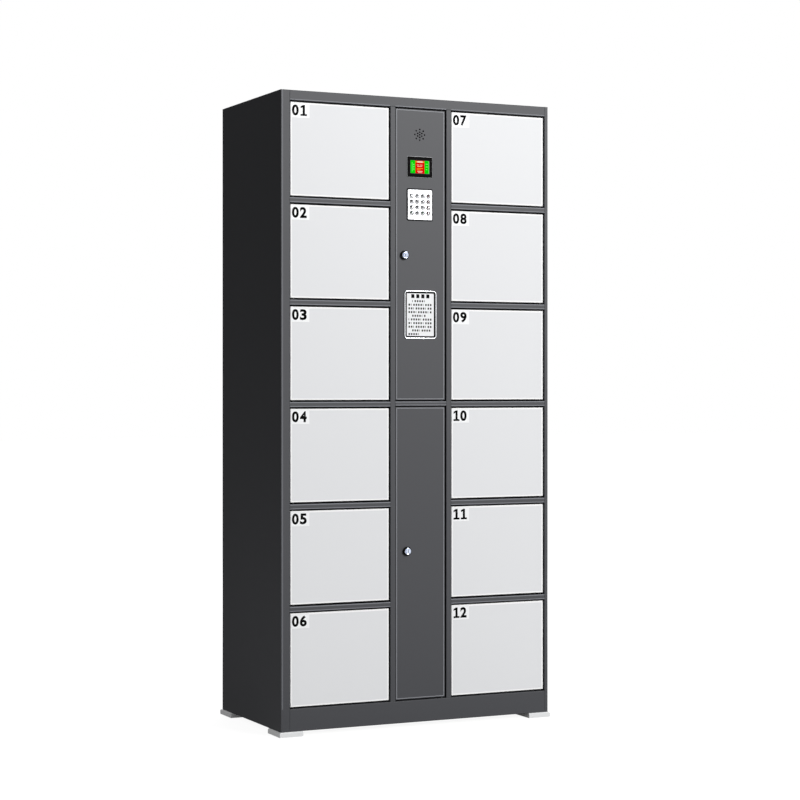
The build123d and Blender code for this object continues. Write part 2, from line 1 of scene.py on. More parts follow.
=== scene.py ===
import bmesh
import bpy
import numpy as np
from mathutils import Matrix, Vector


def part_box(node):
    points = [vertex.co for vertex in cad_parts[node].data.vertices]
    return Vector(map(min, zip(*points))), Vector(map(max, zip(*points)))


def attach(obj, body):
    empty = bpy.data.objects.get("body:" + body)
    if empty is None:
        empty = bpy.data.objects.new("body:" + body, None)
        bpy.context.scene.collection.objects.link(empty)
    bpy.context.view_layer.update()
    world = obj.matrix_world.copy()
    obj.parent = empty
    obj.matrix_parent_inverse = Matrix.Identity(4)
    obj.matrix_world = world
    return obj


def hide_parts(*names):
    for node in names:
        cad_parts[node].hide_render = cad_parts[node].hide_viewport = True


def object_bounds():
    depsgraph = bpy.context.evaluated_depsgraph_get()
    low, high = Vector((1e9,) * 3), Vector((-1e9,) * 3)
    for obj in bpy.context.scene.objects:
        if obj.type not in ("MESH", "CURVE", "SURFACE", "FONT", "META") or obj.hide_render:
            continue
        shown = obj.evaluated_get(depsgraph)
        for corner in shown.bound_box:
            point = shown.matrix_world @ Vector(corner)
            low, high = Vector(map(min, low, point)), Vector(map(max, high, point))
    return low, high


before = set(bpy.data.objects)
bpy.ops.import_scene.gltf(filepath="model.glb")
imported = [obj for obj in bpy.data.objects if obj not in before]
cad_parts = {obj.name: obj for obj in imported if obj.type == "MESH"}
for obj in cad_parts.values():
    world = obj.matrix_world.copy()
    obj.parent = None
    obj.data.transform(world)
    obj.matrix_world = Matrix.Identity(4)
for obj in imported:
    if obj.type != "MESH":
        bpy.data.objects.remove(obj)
cad_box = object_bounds()

# Carcass. The side panels, roof, base, back sheet, welded front frame, dividers and shelves are folded
# from 1 mm cold-rolled steel sheet, spot-welded, and coated together in a dark grey powder coat.
# The coat's colour, a lighter colour for the painted highlights along the bends, and near-black for the painted
# shade in the gaps around the doors.
DARK_COAT, BEND_HIGHLIGHT, GAP_SHADE = "#3C3D41", "#7C7E84", "#060606"
# The grid of openings, in metres: the compartments' middles to either side of the control column and row by
# row, their half width and half height, and the control openings' half width and lower and upper edges.
COLUMN_MIDDLE, DOOR_MIDDLE = 0.008, 0.2515
TOP_DOOR_MIDDLE, DOOR_PITCH = 1.637, 0.285
OPENING_HALF = (0.1545, 0.135)
CONTROL_HALF, CONTROL_HEIGHTS = 0.081, ((0.9325, 1.772), (0.077, 0.9195))
FRAME_FRONT, FRONT_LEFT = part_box("front_frame")[0][1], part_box("left_side_panel")[0][0]
# Painted highlight lines, where the bends catch the light: their distance from the opening or the corner,
# and how far from its middle each line ends and is full. They stay on the front's outermost layer, above
# the plinth.
BEND_LINE, BEND_FADE = 0.002, (0.0016, 0.0007)
CORNER_LINE, CORNER_FADE, CORNER_STRENGTH = 0.0045, (0.0022, 0.0010), 0.5
FRONT_LAYER, PLINTH_TOP = 0.0005, 0.0775
# The colours' inputs and output of a Mix node.
MIX_FIRST, MIX_SECOND, MIX_RESULT = 6, 7, 2


def linear(code):
    """Linear RGBA of an sRGB hex colour: c / 12.92 up to 0.04045, above it ((c + 0.055) / 1.055) ** 2.4."""
    c = np.array([int(code[i:i + 2], 16) for i in (1, 3, 5)]) / 255
    return (*np.where(c <= 0.04045, c / 12.92, ((c + 0.055) / 1.055) ** 2.4).tolist(), 1.0)


def add(tree, kind, settings, links=()):
    """Adds a node, sets its inputs or properties by name, and joins its inputs to the outputs given."""
    made = tree.nodes.new(kind)
    for key, value in settings.items():
        if isinstance(key, int) or key in made.inputs:
            made.inputs[key].default_value = value
        else:
            setattr(made, key, value)
    for key, output in dict(links).items():
        tree.links.new(output, made.inputs[key])
    return made


def finish(name, colour, roughness, **more):
    """A material with one Principled shader; returns it, its node tree and the shader."""
    material = bpy.data.materials.new(name)
    material.use_nodes = True
    shader = material.node_tree.nodes["Principled BSDF"]
    shader.inputs["Base Color"].default_value = linear(colour)
    shader.inputs["Roughness"].default_value = roughness
    for key, value in more.items():
        shader.inputs[key.replace("_", " ")].default_value = value
    return material, material.node_tree, shader


def dress(material, *names):
    """Puts a material on CAD nodes."""
    for name in names:
        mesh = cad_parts[name].data
        mesh.materials.clear()
        mesh.materials.append(material)


def rough_surface(tree, shader, grain, height, stretch=(1, 1, 1)):
    """Bump from a noise on Object coordinates whose lumps are grain metres across and height metres high;
    returns the coordinates."""
    place = add(tree, "ShaderNodeTexCoord", {}).outputs["Object"]
    spread = add(tree, "ShaderNodeMapping", {"Scale": stretch}, {"Vector": place})
    noise = add(tree, "ShaderNodeTexNoise", {"Scale": 1 / grain, "Detail": 2.0}, {"Vector": spread.outputs[0]})
    bump = add(tree, "ShaderNodeBump", {"Distance": height, "Strength": 1.0}, {"Height": noise.outputs[0]})
    tree.links.new(bump.outputs[0], shader.inputs["Normal"])
    return place


def powder_coat(name, colour, roughness, specular, peel):
    """A powder coat with an orange peel of lumps peel metres across; returns its material, node tree and
    shader, and the x, y and z of the surface."""
    material, tree, shader = finish(name, colour, roughness, IOR=1.5, Specular_IOR_Level=specular)
    place = rough_surface(tree, shader, peel, PEEL_HEIGHT)
    return material, tree, shader, add(tree, "ShaderNodeSeparateXYZ", {}, {"Vector": place}).outputs[:]


def inward(tree, value, middle, half):
    """Distance in metres inwards from the nearer of two parallel edges: half less |value - middle|."""
    away = add(tree, "ShaderNodeMath", {"operation": "SUBTRACT", 1: middle}, {0: value})
    size = add(tree, "ShaderNodeMath", {"operation": "ABSOLUTE"}, {0: away.outputs[0]})
    return add(tree, "ShaderNodeMath", {"operation": "SUBTRACT", 0: half}, {1: size.outputs[0]}).outputs[0]


def thin_line(tree, value, middle, fade, strength=1.0):
    """A line along value = middle: strength where |value - middle| is under fade[1], from there evenly down
    to nothing at fade[0]."""
    ramp = {"From Min": -fade[0], "From Max": -fade[1], "To Min": 0.0, "To Max": strength}
    return add(tree, "ShaderNodeMapRange", ramp, {"Value": inward(tree, value, middle, 0.0)}).outputs[0]


def in_compartment(tree, x, z):
    """Place in the grid of compartments: |x - middle of the locker|, and the depth below the top of the row's
    cell, (top - z) modulo the pitch."""
    from_centre = add(tree, "ShaderNodeMath", {"operation": "SUBTRACT", 1: COLUMN_MIDDLE}, {0: x})
    outward = add(tree, "ShaderNodeMath", {"operation": "ABSOLUTE"}, {0: from_centre.outputs[0]})
    below = add(tree, "ShaderNodeMath", {"operation": "SUBTRACT", 0: TOP_DOOR_MIDDLE + DOOR_PITCH / 2}, {1: z})
    in_row = add(tree, "ShaderNodeMath", {"operation": "MODULO", 1: DOOR_PITCH}, {0: below.outputs[0]})
    return outward.outputs[0], in_row.outputs[0]


def painted_bend_highlights(tree, x, y, z):
    """The dark coat's colour with painted highlights, lighter along narrow lines where the bends catch the
    light: where the distance past an opening's upper or lower edge is BEND_LINE and x is inside the opening,
    and where x is CORNER_LINE from the left corner. The strongest line counts, times 1 on the front above the
    plinth and 0 elsewhere."""
    outward, in_row = in_compartment(tree, x, z)
    openings = [(inward(tree, outward, DOOR_MIDDLE, OPENING_HALF[0]),
                 inward(tree, in_row, DOOR_PITCH / 2, OPENING_HALF[1]))]
    column = inward(tree, x, COLUMN_MIDDLE, CONTROL_HALF)
    openings += [(column, inward(tree, z, (low + high) / 2, (high - low) / 2)) for low, high in CONTROL_HEIGHTS]
    mask = thin_line(tree, x, FRONT_LEFT + CORNER_LINE, CORNER_FADE, CORNER_STRENGTH)
    for across, upright in openings:
        within = add(tree, "ShaderNodeMath", {"operation": "GREATER_THAN", 1: 0.0}, {0: across})
        line = thin_line(tree, upright, -BEND_LINE, BEND_FADE)
        line = add(tree, "ShaderNodeMath", {"operation": "MULTIPLY"}, {0: line, 1: within.outputs[0]})
        mask = add(tree, "ShaderNodeMath", {"operation": "MAXIMUM"}, {0: mask, 1: line.outputs[0]}).outputs[0]
    for place, kind, limit in ((y, "LESS_THAN", FRAME_FRONT + FRONT_LAYER), (z, "GREATER_THAN", PLINTH_TOP)):
        side = add(tree, "ShaderNodeMath", {"operation": kind, 1: limit}, {0: place})
        mask = add(tree, "ShaderNodeMath", {"operation": "MULTIPLY"}, {0: mask, 1: side.outputs[0]}).outputs[0]
    return add(tree, "ShaderNodeMix", {"data_type": "RGBA", MIX_FIRST: linear(DARK_COAT),
                                       MIX_SECOND: linear(BEND_HIGHLIGHT)}, {0: mask}).outputs[MIX_RESULT]


# Polyester powder coat, sprayed dry and baked: a satin film whose fine orange peel, lumps of 1.5 mm and
# 0.01 mm high, breaks up reflections without showing as a pattern. Lighter lines are painted along the
# bends beside the doors and along the left corner, as painted highlights where the bends catch the light.
PEEL_HEIGHT = 0.00001
DARK_FINISH = {"colour": DARK_COAT, "roughness": 0.5, "specular": 0.38, "peel": 0.0015}
dark_coat, tree, shader, spot = powder_coat("Powder coat, dark grey, baked", **DARK_FINISH)
tree.links.new(painted_bend_highlights(tree, *spot), shader.inputs["Base Color"])
dress(dark_coat, "left_side_panel", "right_side_panel", "base_panel", "back_panel", "column_dividers",
      "compartment_shelves", "service_shelves")

# The roof is the same coat, dulled on top by a little dust, which keeps it from mirroring at a low angle.
DUST_FROM, DUST_FULL, DUSTY_ROUGHNESS = cad_box[1][2] - 0.0016, cad_box[1][2] - 0.0006, 0.95
roof_coat, tree, shader, spot = powder_coat("Powder coat, dark grey, dusty on top", **DARK_FINISH)
dust = add(tree, "ShaderNodeMapRange", {"From Min": DUST_FROM, "From Max": DUST_FULL,
                                        "To Min": DARK_FINISH["roughness"], "To Max": DUSTY_ROUGHNESS},
           {"Value": spot[2]})
tree.links.new(dust.outputs[0], shader.inputs["Roughness"])
tree.links.new(painted_bend_highlights(tree, *spot), shader.inputs["Base Color"])
dress(roof_coat, "top_panel")

# The sides of the frame's openings, which face into the gaps around the doors, are painted near-black:
# painted shade that makes the gaps look dark.
GAP_SHADE_FROM, GAP_SHADE_FULL = FRAME_FRONT + 0.0011, FRAME_FRONT + 0.0016
frame_coat, tree, shader, spot = powder_coat("Powder coat, painted shade in the gaps", **DARK_FINISH)
gap_shade = add(tree, "ShaderNodeMapRange", {"From Min": GAP_SHADE_FROM, "From Max": GAP_SHADE_FULL}, {"Value": spot[1]})
shades = add(tree, "ShaderNodeMix", {"data_type": "RGBA", MIX_SECOND: linear(GAP_SHADE)},
             {0: gap_shade.outputs[0], MIX_FIRST: painted_bend_highlights(tree, *spot)})
tree.links.new(shades.outputs[MIX_RESULT], shader.inputs["Base Color"])
dress(frame_coat, "front_frame")

# Control doors. Two pans folded from the same sheet, hung on pins in the rails and coated with the cabinet.
# The satin coat is dull and fine-grained. A slightly lighter line is painted around each door near its
# folded edges, a painted highlight where the bends catch the light.
EDGE_HIGHLIGHT, EDGE_LINE, EDGE_FADE = "#909298", 0.0038, (0.0013, 0.0004)
# How far the hinge pins stand out above and below the pan.
PIN_REACH = 0.008


def edge_distance(tree, x, z, middle, half):
    """Distance in metres inwards from the nearest edge of an upright rectangle: the smaller of half the
    width less |x - middle| and half the height less |z - middle|."""
    sides = {0: inward(tree, x, middle[0], half[0]), 1: inward(tree, z, middle[1], half[1])}
    return add(tree, "ShaderNodeMath", {"operation": "MINIMUM"}, sides).outputs[0]


for which in ("upper", "lower"):
    low, high = np.array(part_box(f"{which}_service_door"))[:, [0, 2]]
    coat, tree, shader, (x, y, z) = powder_coat(f"Powder coat, dark grey, {which} control door", **DARK_FINISH)
    inside = edge_distance(tree, x, z, (low + high) / 2, (high - low) / 2 - (0, PIN_REACH))
    shades = add(tree, "ShaderNodeMix", {"data_type": "RGBA", MIX_FIRST: linear(DARK_COAT),
                                         MIX_SECOND: linear(EDGE_HIGHLIGHT)},
                 {0: thin_line(tree, inside, EDGE_LINE, EDGE_FADE)})
    tree.links.new(shades.outputs[MIX_RESULT], shader.inputs["Base Color"])
    dress(coat, f"{which}_service_door")

# Compartment doors. Each is a folded steel pan closed by a liner and hung on two pins in the rails. The
# smooth white powder coat shows no grain; a near-white band along the folded edges is a painted highlight
# where the bends catch the light. The tongue behind it is zinc-plated, bright metal, and the pins at its
# ends are blackened steel.
WHITE_COAT, RIM_HIGHLIGHT, ZINC_PLATE, BLACKENED_STEEL = "#E4E5E7", "#FEFEFE", "#B9BCC0", "#0E0E0F"
ROWS = 6
DOORS = [f"{number:02d}" for number in range(1, 2 * ROWS + 1)]
DOOR_HALF = (0.1515, 0.1305)
RIM_FULL, RIM_END = 0.004, 0.0055
# What lies this far outside the pan's outline is a pin, and what lies behind this depth is the tongue.
PIN_OUTSIDE, TONGUE_BEHIND = 0.0003, -0.2073
white_coat, tree, shader, (x, y, z) = powder_coat("Powder coat, white, baked", WHITE_COAT, roughness=0.45,
                                                  specular=0.35, peel=0.003)
outward, in_row = in_compartment(tree, x, z)
inside = edge_distance(tree, outward, in_row, (DOOR_MIDDLE, DOOR_PITCH / 2), DOOR_HALF)
# The rim: a painted highlight along each door's folded edges.
rim = add(tree, "ShaderNodeMapRange", {"From Min": RIM_FULL, "From Max": RIM_END, "To Min": 1.0, "To Max": 0.0},
          {"Value": inside})
shades = add(tree, "ShaderNodeMix", {"data_type": "RGBA", MIX_FIRST: linear(WHITE_COAT),
                                     MIX_SECOND: linear(RIM_HIGHLIGHT)}, {0: rim.outputs[0]})
pins = add(tree, "ShaderNodeMath", {"operation": "LESS_THAN", 1: -PIN_OUTSIDE}, {0: inside})
plated = add(tree, "ShaderNodeMath", {"operation": "GREATER_THAN", 1: TONGUE_BEHIND}, {0: y})
for colour, mask in ((ZINC_PLATE, plated), (BLACKENED_STEEL, pins)):
    shades = add(tree, "ShaderNodeMix", {"data_type": "RGBA", MIX_SECOND: linear(colour)},
                 {0: mask.outputs[0], MIX_FIRST: shades.outputs[MIX_RESULT]})
tree.links.new(shades.outputs[MIX_RESULT], shader.inputs["Base Color"])
tree.links.new(plated.outputs[0], shader.inputs["Metallic"])
dress(white_coat, *(f"door_{number}" for number in DOORS))

# Door numbers. White vinyl labels with the number screen-printed in black, stuck into the upper left
# corner of each door. Sizes in metres; the digits' strokes are thickened a little, as a curve's offset.
LABEL_WIDTH, LABEL_HEIGHT, FILM, LABEL_MARGIN = 0.056, 0.041, 0.0001, 0.0015
NUMBER_HEIGHT, NUMBER_MARGIN, NUMBER_WEIGHT = 0.0305, (0.0048, 0.0070), 0.04
DIGIT_WIDTH, DIGIT_STEP = 0.0205, 0.0240
# A 1 with a foot, as wide as the other digits: its outline in parts of its height.
ONE = [(0.06, 0), (0.70, 0), (0.70, 0.17), (0.50, 0.17), (0.50, 1), (0.33, 1), (0.07, 0.87), (0.07, 0.68),
       (0.27, 0.78), (0.27, 0.17), (0.06, 0.17)]


def lettering(words, height, weight, cuts=0):
    """Points and faces of flat letters: x to the right, z up, facing the front, height metres high. Cuts
    divide each edge, for letters that are bent afterwards."""
    curve = bpy.data.curves.new(words, "FONT")
    curve.body = words
    curve.offset = weight
    curve.resolution_u = 6
    text = bpy.data.objects.new(words, curve)
    bpy.context.collection.objects.link(text)
    flat = bpy.data.meshes.new_from_object(text.evaluated_get(bpy.context.evaluated_depsgraph_get()))
    if cuts:
        fine = bmesh.new()
        fine.from_mesh(flat)
        bmesh.ops.subdivide_edges(fine, edges=fine.edges, cuts=cuts, use_grid_fill=True)
        fine.to_mesh(flat)
        fine.free()
    points = np.empty((len(flat.vertices), 3), np.float32)
    flat.vertices.foreach_get("co", points.ravel())
    faces = [tuple(face.vertices) for face in flat.polygons]
    bpy.data.objects.remove(text)
    bpy.data.curves.remove(curve)
    bpy.data.meshes.remove(flat)
    points = points.astype(float) - points.min(axis=0)
    points = points * height / points[:, 1].max()
    return np.stack([points[:, 0], 0 * points[:, 0], points[:, 1]], axis=1), faces


def plates(boxes):
    """Points and faces of plates given as rows of x0, x1, y0, y1, z0, z1, with all six sides."""
    rows = np.asarray(boxes, float).reshape(-1, 6)
    corners = np.array([[i, 2 + j, 4 + k] for i in (0, 1) for j in (0, 1) for k in (0, 1)])
    points = rows[:, corners].reshape(-1, 3)
    sides = np.array([[0, 1, 3, 2], [4, 6, 7, 5], [0, 4, 5, 1], [2, 3, 7, 6], [0, 2, 6, 4], [1, 5, 7, 3]])
    faces = (sides[None] + 8 * np.arange(len(rows))[:, None, None]).reshape(-1, 4)
    return points, faces


def piece(name, points, faces, body, material, smooth=None):
    """A mesh object in its own place, carried by a CAD body, with the material given. A closed shape gives
    smooth, the sharpest angle in degrees that is still shaded round, and has its faces turned outwards."""
    mesh = bpy.data.meshes.new(name)
    mesh.from_pydata(np.asarray(points).tolist(), [], [tuple(face) for face in faces])
    mesh.materials.append(material)
    if smooth is not None:
        shell = bmesh.new()
        shell.from_mesh(mesh)
        bmesh.ops.recalc_face_normals(shell, faces=shell.faces)
        shell.to_mesh(mesh)
        shell.free()
        mesh.shade_smooth()
        mesh.set_sharp_from_angle(angle=np.radians(smooth))
    made = bpy.data.objects.new(name, mesh)
    bpy.context.collection.objects.link(made)
    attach(made, body)
    return made


# PVC film: nearly white, a little glossier than the coat around it.
vinyl = finish("Vinyl film, white", "#F6F7F8", 0.35, IOR=1.53)[0]
# Solvent ink, printed solid: black with hardly any gloss.
ink = finish("Screen-printing ink, black", "#030303", 0.7, IOR=1.5, Specular_IOR_Level=0.04)[0]
DOOR_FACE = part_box("door_01")[0][1]
for index, number in enumerate(DOORS):
    column, row = divmod(index, ROWS)
    left = COLUMN_MIDDLE + (DOOR_MIDDLE if column else -DOOR_MIDDLE) - DOOR_HALF[0]
    top = TOP_DOOR_MIDDLE - row * DOOR_PITCH + DOOR_HALF[1]
    x, z = left + LABEL_MARGIN, top - LABEL_MARGIN
    points, faces = plates([x, x + LABEL_WIDTH, DOOR_FACE - FILM, DOOR_FACE, z - LABEL_HEIGHT, z])
    piece(f"number_label_{number}", points, faces, f"compartment_door_{number}", vinyl)
    x, z = left + NUMBER_MARGIN[0], top - NUMBER_MARGIN[1] - NUMBER_HEIGHT
    for place, digit in zip(("tens", "units"), number):
        if digit == "1":
            points, faces = np.insert(np.array(ONE) * NUMBER_HEIGHT, 1, 0.0, axis=1), [range(len(ONE))]
        else:
            points, faces = lettering(digit, NUMBER_HEIGHT, NUMBER_WEIGHT)
            points *= (DIGIT_WIDTH / points[:, 0].max(), 1, 1)
        points += (x + (DIGIT_STEP if place == "units" else 0), DOOR_FACE - 1.5 * FILM, z)
        piece(f"number_{number}_{place}", points, faces, f"compartment_door_{number}", ink)

# Feet. Flat pads under the four corners, injection-moulded in nylon and screwed to the base from below,
# a few millimetres proud of it on the outer sides. The moulded surface is white with a low, even gloss.
nylon = finish("Nylon, moulded, white", "#E9EAEB", 0.35, IOR=1.53)[0]
dress(nylon, "corner_feet")

# Latches. Electric door latches in pressed steel cases, one for each compartment, screwed to the dividers
# beside the doors' tongues; a black coil shows in the opening of each cover.
DOOR_HEIGHTS = [TOP_DOOR_MIDDLE - row * DOOR_PITCH for row in range(ROWS)]
LATCH_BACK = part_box("door_latches")[1][1]
# On either side, where the covers' faces are, and which way they look.
LATCH_FACES = (("left", -0.1035, -1), ("right", 0.1195, 1))
# Two screws to a latch, and the part of its coil that shows: places in metres from the latch's back end and
# from its middle height.
SCREW_BACK, SCREW_UP = 0.009, 0.022
COIL_PROUD, COIL_FRONT, COIL_BACK, COIL_HALF = 0.0008, 0.0165, 0.004, 0.013


def turned(profile, steps=32, flats=0, ends=True):
    """A profile of (radius, y) points turned about an axis along the depth: x = r cos t and z = r sin t. A
    flat face closes each end, unless the profile itself is closed and ends is False. With flats, r is the
    corner radius times cos(pi / flats) / cos(t'), where t' is the angle from the middle of the nearest flat."""
    t = np.arange(steps) * 2 * np.pi / steps
    wave = np.ones(steps)
    if flats:
        wave = np.cos(np.pi / flats) / np.cos((t + np.pi / flats) % (2 * np.pi / flats) - np.pi / flats)
    r, y = np.array(profile, float).T
    points = np.stack([r[:, None] * wave * np.cos(t), np.repeat(y, steps).reshape(-1, steps),
                       r[:, None] * wave * np.sin(t)], axis=2).reshape(-1, 3)
    i, j = np.meshgrid(np.arange(len(r) - 1), np.arange(steps), indexing="ij")
    i, j = i.ravel(), j.ravel()
    beside = (j + 1) % steps
    faces = np.stack([i * steps + j, i * steps + beside, (i + 1) * steps + beside, (i + 1) * steps + j], axis=1)
    closing = [np.arange(steps), (len(r) - 1) * steps + np.arange(steps)] if ends else []
    return points, [tuple(face) for face in faces] + [tuple(end) for end in closing]


def arc(middle_r, middle_y, radius, start, stop, steps=7):
    """Points (radius, y) on part of a circle, from angle start to stop in degrees, y falling as they rise."""
    a = np.radians(np.linspace(start, stop, steps))
    return list(zip(middle_r + radius * np.cos(a), middle_y - radius * np.sin(a)))


def repeated(points, faces, places):
    """Copies of one shape at each of the places, as a single mesh."""
    places = np.asarray(places, float)
    every = (np.asarray(points)[None] + places[:, None]).reshape(-1, 3)
    count = len(points)
    return every, [tuple(int(v) + n * count for v in face) for n in range(len(places)) for face in faces]


# Zinc plate is a pale metal with a soft sheen, and its slight waves blur what it mirrors.
zinc, tree, shader = finish("Steel, zinc-plated", ZINC_PLATE, 0.38, Metallic=1.0)
rough_surface(tree, shader, grain=0.004, height=0.00002)
dress(zinc, "door_latches")
# Cloth tape around the windings: black and almost without gloss.
coil = finish("Coil wrap, black tape", "#141416", 0.5, IOR=1.5)[0]
# A pan head of 7 mm, from its seat to the middle of its crown.
SCREW_HEAD = [(0.0035, 0.0), (0.0035, -0.0006), *arc(0.0015, -0.0006, 0.002, 0, 80, 5), (0.0001, -0.0026)]
for side, face_x, out in LATCH_FACES:
    points, faces = turned(SCREW_HEAD)
    points = points[:, [1, 0, 2]] * (-out, 1, 1)
    places = [(face_x, LATCH_BACK - SCREW_BACK, z + up) for z in DOOR_HEIGHTS for up in (-SCREW_UP, SCREW_UP)]
    points, faces = repeated(points, faces, places)
    piece(f"latch_screws_{side}", points, faces, "cabinet", zinc, smooth=40)
    points, faces = plates([*sorted((face_x, face_x + out * COIL_PROUD)), LATCH_BACK - COIL_FRONT,
                            LATCH_BACK - COIL_BACK, -COIL_HALF, COIL_HALF])
    points, faces = repeated(points, faces, [(0, 0, z) for z in DOOR_HEIGHTS])
    piece(f"latch_coils_{side}", points, faces, "cabinet", coil)

# Back sheet fixings. Pop rivets along the two upright returns of the side panels hold the back sheet.
# Their drawn aluminium is left plain, a light grey metal with a blurred shine.
RIVET_X, RIVET_Y, LOWEST_RIVET, RIVET_PITCH, RIVETS = 0.4195, cad_box[1][1] - 0.005, 0.08, 0.1825, 10
RIVET_HEAD = [(0.0032, 0.0), (0.0030, 0.0003), (0.0024, 0.0007), (0.0014, 0.001), (0.0013, 0.0006),
              (0.0001, 0.0006)]
aluminium = finish("Aluminium rivets, plain", "#A9ABAE", 0.4, Metallic=1.0)[0]
places = [(side * RIVET_X, RIVET_Y, LOWEST_RIVET + n * RIVET_PITCH) for side in (-1, 1) for n in range(RIVETS)]
points, faces = repeated(*turned(RIVET_HEAD, 20), places)
piece("back_rivets", points, faces, "cabinet", aluminium, smooth=40)

# Mains inlet and electrics behind the control doors: a cord gland screwed into the back sheet, a closed
# power supply, the control board on standoffs and a slotted wiring duct, all fixed to the cabinet.
# Moulded nylon, black with a dull gloss.
black_nylon = finish("Nylon, moulded, black", "#101011", 0.45, IOR=1.53)[0]
dress(black_nylon, "power_gland")
# Folded aluminium sheet, left plain: pale, with a blurred shine.
supply_case = finish("Aluminium sheet, plain", "#C4C6C8", 0.42, Metallic=1.0)[0]
dress(supply_case, "power_supply")
# Green lacquer on a glass-fibre board: smooth and rather glossy.
solder_mask = finish("Epoxy board, green solder mask", "#0F5B2C", 0.3, IOR=1.55)[0]
dress(solder_mask, "control_board")
# Extruded PVC, grey and half dull.
duct_vinyl = finish("PVC, extruded, grey", "#9C9FA2", 0.5, IOR=1.53)[0]
dress(duct_vinyl, "cable_duct")
# The parts soldered to the board reach forward from its face; parts that cover a block of the board's own
# end 0.5 mm before it. Two columns of sockets for the latches' leads, the main chip, small chips around it
# and a row of capacitors.
BOARD_FACE, COVER_END = 0.2144, 0.2139
SOCKET_COLUMNS, SOCKET_ROWS, SOCKETS_MIDDLE, SOCKET_PITCH = (-0.056, 0.072), 6, 1.44, 0.024
SOCKET_HALF, SOCKET_FRONT = (0.0042, 0.0082), BOARD_FACE - 0.0093
MAIN_CHIP = (-0.0102, 0.0262, BOARD_FACE - 0.0033, COVER_END, 1.4218, 1.4582)
CHIP_COLUMNS, CHIP_ROWS = (-0.04, -0.026, 0.034, 0.05), (1.372, 1.386, 1.468, 1.482, 1.496)
CHIP_WIDTH, CHIP_HEIGHT, CHIP_FRONT = 0.009, 0.005, BOARD_FACE - 0.002
CAN_PLACES = [(x, BOARD_FACE, 1.516) for x in (-0.03, -0.014, 0.03, 0.046)]
CAN = [(0.0001, 0.0), (0.005, 0.0), (0.005, -0.011), *arc(0.0042, -0.011, 0.0008, 0, 90, 4), (0.0001, -0.0118)]
# Sockets of moulded nylon, cream-coloured and a little glossy.
white_shell = finish("Nylon, moulded, cream", "#E8E2D0", 0.4, IOR=1.53)[0]
rows = []
for x in SOCKET_COLUMNS:
    for row in range(SOCKET_ROWS):
        z = SOCKETS_MIDDLE + ((SOCKET_ROWS - 1) / 2 - row) * SOCKET_PITCH
        rows += [(x - SOCKET_HALF[0], x + SOCKET_HALF[0], SOCKET_FRONT, COVER_END, z - SOCKET_HALF[1],
                  z + SOCKET_HALF[1])]
points, faces = plates(rows)
piece("board_sockets", points, faces, "cabinet", white_shell)
# Chips are cast in epoxy: a dark grey, half glossy.
epoxy = finish("Epoxy, moulded, black", "#141516", 0.35, IOR=1.55)[0]
small_chips = [(x, x + CHIP_WIDTH, CHIP_FRONT, BOARD_FACE, z, z + CHIP_HEIGHT) for x in CHIP_COLUMNS
               for z in CHIP_ROWS]
points, faces = plates([MAIN_CHIP, *small_chips])
piece("board_chips", points, faces, "cabinet", epoxy)
# Capacitors are aluminium cans under a shrunk dark blue sleeve with a soft gloss.
sleeve = finish("Aluminium can, dark sleeve", "#1B2B52", 0.35, IOR=1.5)[0]
points, faces = repeated(*turned(CAN, 24), CAN_PLACES)
piece("board_capacitors", points, faces, "cabinet", sleeve, smooth=40)

# Cam locks. Die-cast zinc, chrome-plated, in a black rubber collar and held by a nut behind the door; the
# plug turns with the key and carries the cam that reaches behind the stile.
DOOR_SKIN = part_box("lower_service_door")[0][1]
# The case: radii of the plug's bore, the dished part of the face, the head, the threaded body and the
# head's rounded rim, and where the head ends before the door.
BORE_R, DISH_R, HEAD_R, THREAD_R, RIM_R = 0.00605, 0.0078, 0.0099, 0.009, 0.0015
HEAD_END = DOOR_SKIN - 0.0008
# The chamfer around the plug: its width, and how far its inner and its outer edge lie behind the front.
CHAMFER, CHAMFER_INNER, CHAMFER_OUTER = 0.0012, 0.0015, 0.0003
# The black collar standing out round the lock's head is partly a real rubber collar and partly painted shade:
# it is sized to give the dark ring of shadow around the lock.
# Sections of the collar and of the nut, as radius and distance behind the door's outer face.
COLLAR = [(0.0091, 0.0), (0.0091, -0.0007), (0.0099, -0.0007), (0.0099, -0.0065), (0.0116, -0.0065),
          (0.0126, -0.0056), (0.0126, 0.0), (0.0091, 0.0)]
NUT = [(0.0091, 0.001), (0.0130, 0.001), (0.0130, 0.0045), (0.0122, 0.005), (0.0091, 0.005), (0.0091, 0.001)]
# The shutter's half width and half height, and its front and back behind the plug's face.
SHUTTER_HALF, SHUTTER_FRONT, SHUTTER_BACK = (0.00098, 0.00398), 0.0008, 0.002
# Moulded rubber is black and hardly shines.
rubber = finish("Rubber washer, black", "#050505", 0.8, IOR=1.52, Specular_IOR_Level=0.2)[0]
# Polished chrome plate: a bluish mirror, slightly blurred.
chrome = finish("Zinc casting, chrome-plated", "#D3DCEE", 0.1, Metallic=1.0)[0]
